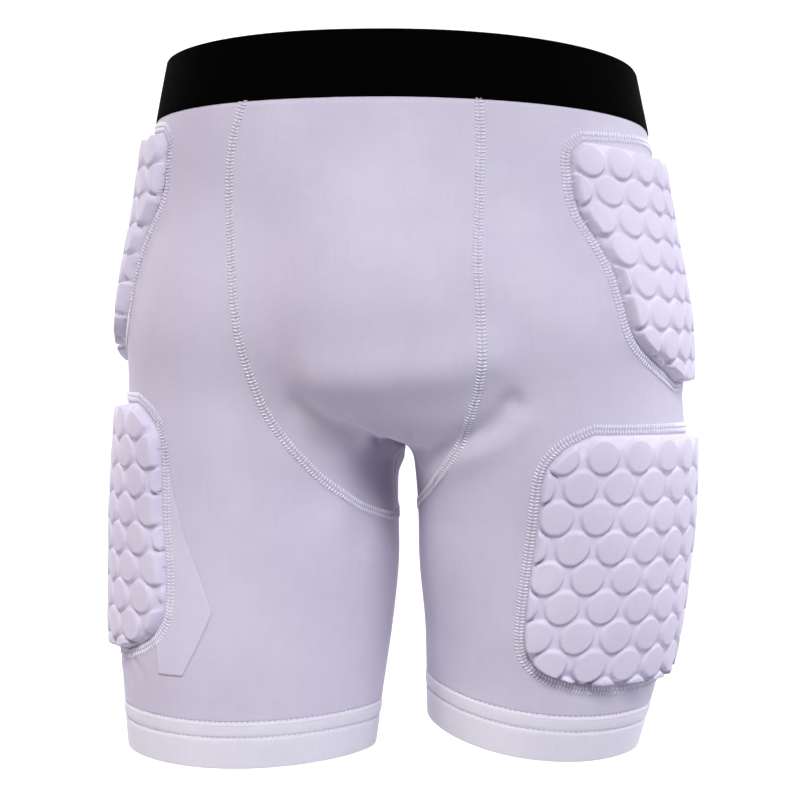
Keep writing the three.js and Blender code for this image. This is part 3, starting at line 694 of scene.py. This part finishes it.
def seamBand(name, path, closed, width, rise):
    path = evenPath(path, flat["step"], closed)
    along, across = pathFrames(path, closed)
    count = len(path)
    spans = count if closed else count - 1
    bm, u, v = unitGrid(spans, flat["rows"])
    k = np.round(u * spans).astype(int) % count
    w = (v - .5) * 2
    places = settle(path[k] + across[k] * (w * width / 2)[:, None], 1, 2)
    normals = normalAt(places)
    # flat on top, a shallow groove between the rows, edges tucked into the cloth
    height = rise * (1 - flat["middleDip"] * np.exp(-(w / flat["dipWidth"]) ** 2))
    height += foldHeight(places) - (rise + flat["tuck"]) * np.abs(w) ** 8
    moveVerts(bm, places + normals * height[:, None])
    setChart(bm, lambda cu, cv: np.stack([cu * count * flat["step"], cv * width], -1))
    faceOutwards(bm, normals)
    bmesh.ops.remove_doubles(bm, verts=bm.verts[:], dist=1e-5)
    # the band takes the greyer knit, painted shade between the stitches
    finishMesh(name, bm, seamShadeKnit)


def flatlock(name, path, closed, lift=0):
    seamBand(name, path, closed, flat["width"], flat["height"] + lift)
    rows = ((-flat["rowOffset"], flat["slant"]), (flat["rowOffset"], 180 - flat["slant"]))
    stitchRows(name + "_thread", path, closed, rows, flat, flat["height"] + lift + flat["stitchLift"])


def bodySeam(side):
    turn, z = seamAt(side, np.linspace(0, 1, 120))
    return np.vstack([legPoint(side, turn, z), legPoint(side, -turn, z)[::-1][1:]])


for side, word in ((-1, "right"), (1, "left")):
    flatlock(f"flatlock_seam_{word}", bodySeam(side), False)
print("flatlock seams sewn")

# The needle rows of the hems
hemStitch = {"pitch": 3.3, "length": 2.1, "thread": .9, "proud": .9, "slant": 14, "lift": .3}


def hemPath(side, drop):
    turn = np.linspace(180, -180, 181)[:-1]
    return legPoint(side, turn, hemTop(side, turn) - drop)


for side, word in ((-1, "right"), (1, "left")):
    for k, drop in enumerate(hem["rows"]):
        path = hemPath(side, drop)
        row = [(0, hemStitch["slant"])]
        stitchRows(f"hem_thread_{word}_{k}", path, True, row, hemStitch, hemHeight(drop) + hemStitch["lift"])
print("hems stitched")

# Foam pads under the same knit, drawn tight over raised round discs
pads = {
    "clearance": .3, "top": 7.9, "channel": 5.6, "edgeChannel": 2.6, "wall": 2.0, "slope": 9, "dome": .35,
    "borderOffset": 3.6, "borderLift": .15,
    "pitchDown": 17.5, "firstRow": .65, "columns": 210, "rows": 190, "underColumns": 42, "underRows": 38,
    "hip": {
        "width": 160, "height": 146, "diameter": 18.2, "pitch": 19.7, "spread": .96,
        "outline": [  # share of the height, half width to the front and to the back
            (0, .88, .86), (.05, .98, .96), (.15, 1, 1), (.3, .99, .99), (.42, .91, .91), (.54, .84, .84),
            (.68, .8, .8), (.78, .75, .75), (.85, .66, .66), (.92, .46, .46), (1, .14, .14)]},
    "thigh": {
        "width": 158, "height": 150, "diameter": 19.5, "pitch": 22.4, "spread": .92,
        "outline": [
            (0, .61, .8), (.05, .81, .92), (.13, .94, .98), (.25, .97, 1), (.5, .965, 1), (.72, .95, 1),
            (.84, .91, .97), (.91, .82, .89), (.96, .67, .75), (1, .42, .5)]},
    # name, side, kind, share of the height, level of the top, middle as a share of the thigh, discs' shift
    "places": [
        ("hip_pad_right", -1, "hip", .93, .142, -.018, 11.5),
        ("hip_pad_left", 1, "hip", .95, .183, .077, 11.5),
        ("thigh_pad_right", -1, "thigh", 1, .895, .131, -8),
        ("thigh_pad_left", 1, "thigh", .98, .978, .272, 0)],
}


# How far the table of a pad's chart reaches past the pad, in millimetres and degrees
measure = {"above": 14, "below": 20, "rows": 63, "turn": 150, "back": -170, "front": 230, "step": 5}


# A flat measure laid on one leg: round the leg from the pad's middle, and down from its top
class PadChart:
    def __init__(self, side, kind, tall, level, middle, shift):
        self.side, self.look, self.shift = side, pads[kind], shift
        self.top, self.middle = float(zOfLevel(level)), middle * body["thighWidth"]
        self.half, self.height = self.look["width"] / 2, self.look["height"] * tall
        table = np.array(self.look["outline"])
        down, front, back = table[:, 0] * self.height, table[:, 1] * self.half, table[:, 2] * self.half
        self.frontEdge, self.backEdge = smoothCurve(down, front), smoothCurve(down, back)
        fine = np.linspace(0, self.height, 90)
        frontSide = np.stack([self.frontEdge(fine), fine], -1)
        backSide = np.stack([-self.backEdge(fine[::-1]), fine[::-1]], -1)
        self.outline = np.vstack([frontSide, backSide])
        high, low = self.top + measure["above"], self.top - self.height - measure["below"]
        self.zs = np.linspace(high, low, measure["rows"])
        turns = np.arange(-measure["turn"], measure["turn"] + 1, float(measure["step"]))
        grid = legPoint(side, turns[None, :], self.zs[:, None])
        steps = np.linalg.norm(np.diff(grid, axis=1), axis=-1)
        runs = np.concatenate([np.zeros((len(self.zs), 1)), np.cumsum(steps, 1)], 1)
        zero = len(turns) // 2
        runs -= runs[:, zero:zero + 1]
        self.lengths = np.arange(measure["back"], measure["front"] + 1, float(measure["step"]))
        self.turnTable = np.array([np.interp(self.lengths, run, turns) for run in runs])

    def turnAt(self, across, down):
        z = self.top - down
        i = np.clip((self.zs[0] - z) / (self.zs[0] - self.zs[1]), 0, len(self.zs) - 1.001)
        j = np.clip((across + self.middle - self.lengths[0]) / measure["step"], 0, len(self.lengths) - 1.001)
        i0, j0 = i.astype(int), j.astype(int)
        fi, fj = i - i0, j - j0
        t = self.turnTable
        return ((1 - fi) * ((1 - fj) * t[i0, j0] + fj * t[i0, j0 + 1])
                + fi * ((1 - fj) * t[i0 + 1, j0] + fj * t[i0 + 1, j0 + 1]))

    def point(self, across, down, height):
        p = legPoint(self.side, self.turnAt(across, down), self.top - down)
        return p + normalAt(p) * np.asarray(height)[..., None]

    # distance in from the outline
    def inside(self, across, down):
        p = np.stack([across, down], -1)
        best = np.full(len(p), 1e9)
        for start, end in zip(self.outline, np.roll(self.outline, -1, 0)):
            run = end - start
            share = np.clip(((p - start) @ run) / max(float(run @ run), 1e-9), 0, 1)
            best = np.minimum(best, np.linalg.norm(p - start - share[:, None] * run, axis=1))
        return best

    def offsetLine(self, out):
        line = self.outline
        along = np.roll(line, -1, 0) - np.roll(line, 1, 0)
        along /= np.maximum(np.linalg.norm(along, axis=1, keepdims=True), 1e-9)
        area = np.sum(line[:, 0] * np.roll(line[:, 1], -1) - np.roll(line[:, 0], -1) * line[:, 1])
        return line + math.copysign(out, area) * np.stack([along[:, 1], -along[:, 0]], -1)


def smoothStep(low, high, value):
    t = np.clip((value - low) / (high - low), 0, 1)
    return t * t * (3 - 2 * t)


# Height of the cover over the cloth: a steep wall at the outline, discs level up to it, and between them
# channels that sink towards it
def padRelief(chart, across, down):
    look = chart.look
    inward = chart.inside(across, down)
    rise = pads["channel"] - pads["edgeChannel"]
    deep = pads["edgeChannel"] + rise * smoothStep(0, pads["slope"], inward)
    crowns = np.zeros_like(inward)
    domes = np.zeros_like(inward)
    for row in range(int(chart.height / pads["pitchDown"]) + 1):
        centreDown = (row + pads["firstRow"]) * pads["pitchDown"]
        for i in range(-6, 7):
            aside = (across - chart.shift - (i + row % 2 / 2) * look["pitch"]) / look["spread"]
            q = np.hypot(aside, down - centreDown) / (look["diameter"] / 2)
            crowns = np.maximum(crowns, 1 - smoothStep(.92, 1.08, q))
            domes = np.maximum(domes, 1 - q * q)
    height = deep + (pads["top"] - deep) * crowns + pads["dome"] * domes * crowns
    return height * np.sin(np.clip(inward / pads["wall"], 0, 1) * math.pi / 2) ** .7


def padCover(name, chart):
    def flatPlace(cu, cv):
        down = (1 - cv) * chart.height
        back, front = -chart.backEdge(down), chart.frontEdge(down)
        return back + (front - back) * cu, down

    bm, u, v = unitGrid(pads["columns"], pads["rows"])
    across, down = flatPlace(u, v)
    cover = chart.point(across, down, padRelief(chart, across, down) + pads["clearance"])
    count = len(bm.verts)
    bmesh.ops.create_grid(bm, x_segments=pads["underColumns"], y_segments=pads["underRows"], size=.5,
                          calc_uvs=True)
    spots = np.array([v.co[:2] for v in bm.verts[:][count:]]) + .5
    under = chart.point(*flatPlace(spots[:, 0], spots[:, 1]), np.full(len(spots), pads["clearance"]))
    setChart(bm, lambda cu, cv: np.stack(flatPlace(cu, cv), -1) * (1, -1))
    moveVerts(bm, np.vstack([cover, under]))
    rims = [edge for edge in bm.edges if edge.is_boundary]
    bmesh.ops.bridge_loops(bm, edges=rims)
    bmesh.ops.recalc_face_normals(bm, faces=bm.faces[:])
    piece = finishMesh(name + "_cover", bm, padKnit, [name])


def padBorder(name, chart):
    line = chart.offsetLine(pads["borderOffset"])
    border = chart.point(line[:, 0], line[:, 1], np.zeros(len(line)))
    flatlock(name + "_border", border, True, pads["borderLift"])


charts = {}
for name, side, kind, tall, level, middle, shift in pads["places"]:
    charts[name] = PadChart(side, kind, tall, level, middle, shift)
    padCover(name, charts[name])
    padBorder(name, charts[name])
    print(name, "covered")

# A lighter layer behind the right thigh pad, which shows beside it in front
backing = {"thickness": .35, "lift": .15, "tuck": 5, "start": 62, "down": (12, 163), "columns": 24,
           "rows": 90, "width": .05,
           "edge": [(12, 73), (40, 81.8), (58, 86.5), (81, 91.9), (88, 94.6), (105, 99.6), (124, 105.5),
                    (136, 99.1), (147, 91.8), (163, 80.5)]}


def backingLayer(chart):
    bm, u, v = unitGrid(backing["columns"], backing["rows"])
    high, low = backing["down"]
    edge = np.array(backing["edge"], float)

    def spots(cu, cv):
        down = high + (low - high) * (1 - cv)
        under = chart.frontEdge(np.minimum(down, chart.height)) - backing["tuck"]
        start = np.maximum(under, backing["start"])
        return start + (np.interp(down, edge[:, 0], edge[:, 1]) - start) * cu, down
    across, down = spots(u, v)
    moveVerts(bm, chart.point(across, down, 0 * u + backing["lift"] + backing["thickness"]))
    setChart(bm, lambda cu, cv: np.stack(spots(cu, cv), -1))
    area = sum(face.calc_area() for face in bm.faces)
    outward = normalAt(chart.point(across, down, 0 * u))
    faceOutwards(bm, outward)
    piece = finishMesh("thigh_backing_right", bm, backingKnit)
    addWall(piece, backing["thickness"])


backingLayer(charts["thigh_pad_right"])
print("backing laid")

# The camera stands where the photo was taken from
camera = {"distance": 1.2, "azimuth": 13, "height": -.19, "lens": 86.0}


def placeCamera():
    lens = bpy.data.cameras.new("camera")
    lens.lens = camera["lens"]
    lens.sensor_width = 36
    lens.clip_start, lens.clip_end = .05, 30
    made = bpy.data.objects.new("camera", lens)
    azimuth = math.radians(camera["azimuth"])
    away = camera["distance"]
    made.location = away * math.sin(azimuth), -away * math.cos(azimuth), camera["height"]
    made.rotation_euler = math.pi / 2, 0, azimuth
    scene.collection.objects.link(made)
    scene.camera = made


placeCamera()

# A pale paper sweep, soft light from above in front, and two lights for the sweep alone
studio = {"floor": -1.2, "wall": 2.4, "width": 12, "tall": 6, "bend": 1.2, "world": .05}


def sweep():
    bm = bmesh.new()
    bmesh.ops.create_grid(bm, x_segments=1, y_segments=1, size=studio["width"] / 2)
    back = [e for e in bm.edges if all(v.co.y > 0 for v in e.verts)]
    bmesh.ops.translate(bm, vec=(0, studio["wall"] - studio["width"] / 2, 0), verts=bm.verts[:])
    made = bmesh.ops.extrude_edge_only(bm, edges=back)
    top = [g for g in made["geom"] if isinstance(g, bmesh.types.BMVert)]
    bmesh.ops.translate(bm, vec=(0, 0, studio["tall"]), verts=top)
    bmesh.ops.bevel(bm, geom=back, offset=studio["bend"], affect="EDGES", segments=16, profile=.5,
                    material=-1)
    bmesh.ops.translate(bm, vec=(0, 0, studio["floor"]), verts=bm.verts[:])
    mesh = bpy.data.meshes.new("floor")
    bm.to_mesh(mesh)
    bm.free()
    mesh.shade_smooth()
    # Matte paper, pale and almost even
    material, tree, shader = newMaterial("paperSweep")
    place = node(tree, "ShaderNodeTexCoord").outputs["Object"]
    grain = node(tree, "ShaderNodeTexNoise", Vector=place, Scale=6.0)
    colour = mixColours(tree, grain.outputs["Fac"], "#c8c8cb", "#cfcfd2")
    tree.links.new(colour, shader.inputs["Base Color"])
    shader.inputs["Roughness"].default_value = .9
    mesh.materials.append(material)
    floor = bpy.data.objects.new("floor", mesh)
    scene.collection.objects.link(floor)


sweep()


def softbox(name, place, target, size, power, colour="#ffffff", spread=180):
    light = bpy.data.lights.new(name, "AREA")
    light.shape = "RECTANGLE"
    light.size, light.size_y = size
    light.energy = power
    light.color = linear(colour)[:3]
    light.spread = math.radians(spread)
    made = bpy.data.objects.new(name, light)
    made.location = place
    made.rotation_euler = (Vector(target) - Vector(place)).to_track_quat("-Z", "Y").to_euler()
    scene.collection.objects.link(made)


softbox("key", (1.0, -4.7, 3.4), (0, 0, -.42), (2.4, 2.0), 18.5, spread=40)
softbox("leftFill", (-2.5, -1.2, .4), (0, 0, -.3), (1.2, 1.4), 20, "#fff3f6")
softbox("rightFill", (2.1, -1.2, .3), (0, 0, -.35), (1.2, 1.4), 13, "#e6e8ff")
softbox("sweepLeft", (-1.5, .9, .9), (-.7, 2.4, -.4), (1.6, 1.6), 62)
softbox("sweepRight", (1.5, .9, .9), (.7, 2.4, -.4), (1.6, 1.6), 62)

world = bpy.data.worlds.new("studio")
world.use_nodes = True
sky = world.node_tree.nodes["Background"]
sky.inputs["Color"].default_value = linear("#f6f5fa")
sky.inputs["Strength"].default_value = studio["world"]
scene.world = world
scene.view_settings.view_transform = "Standard"
print("studio set")
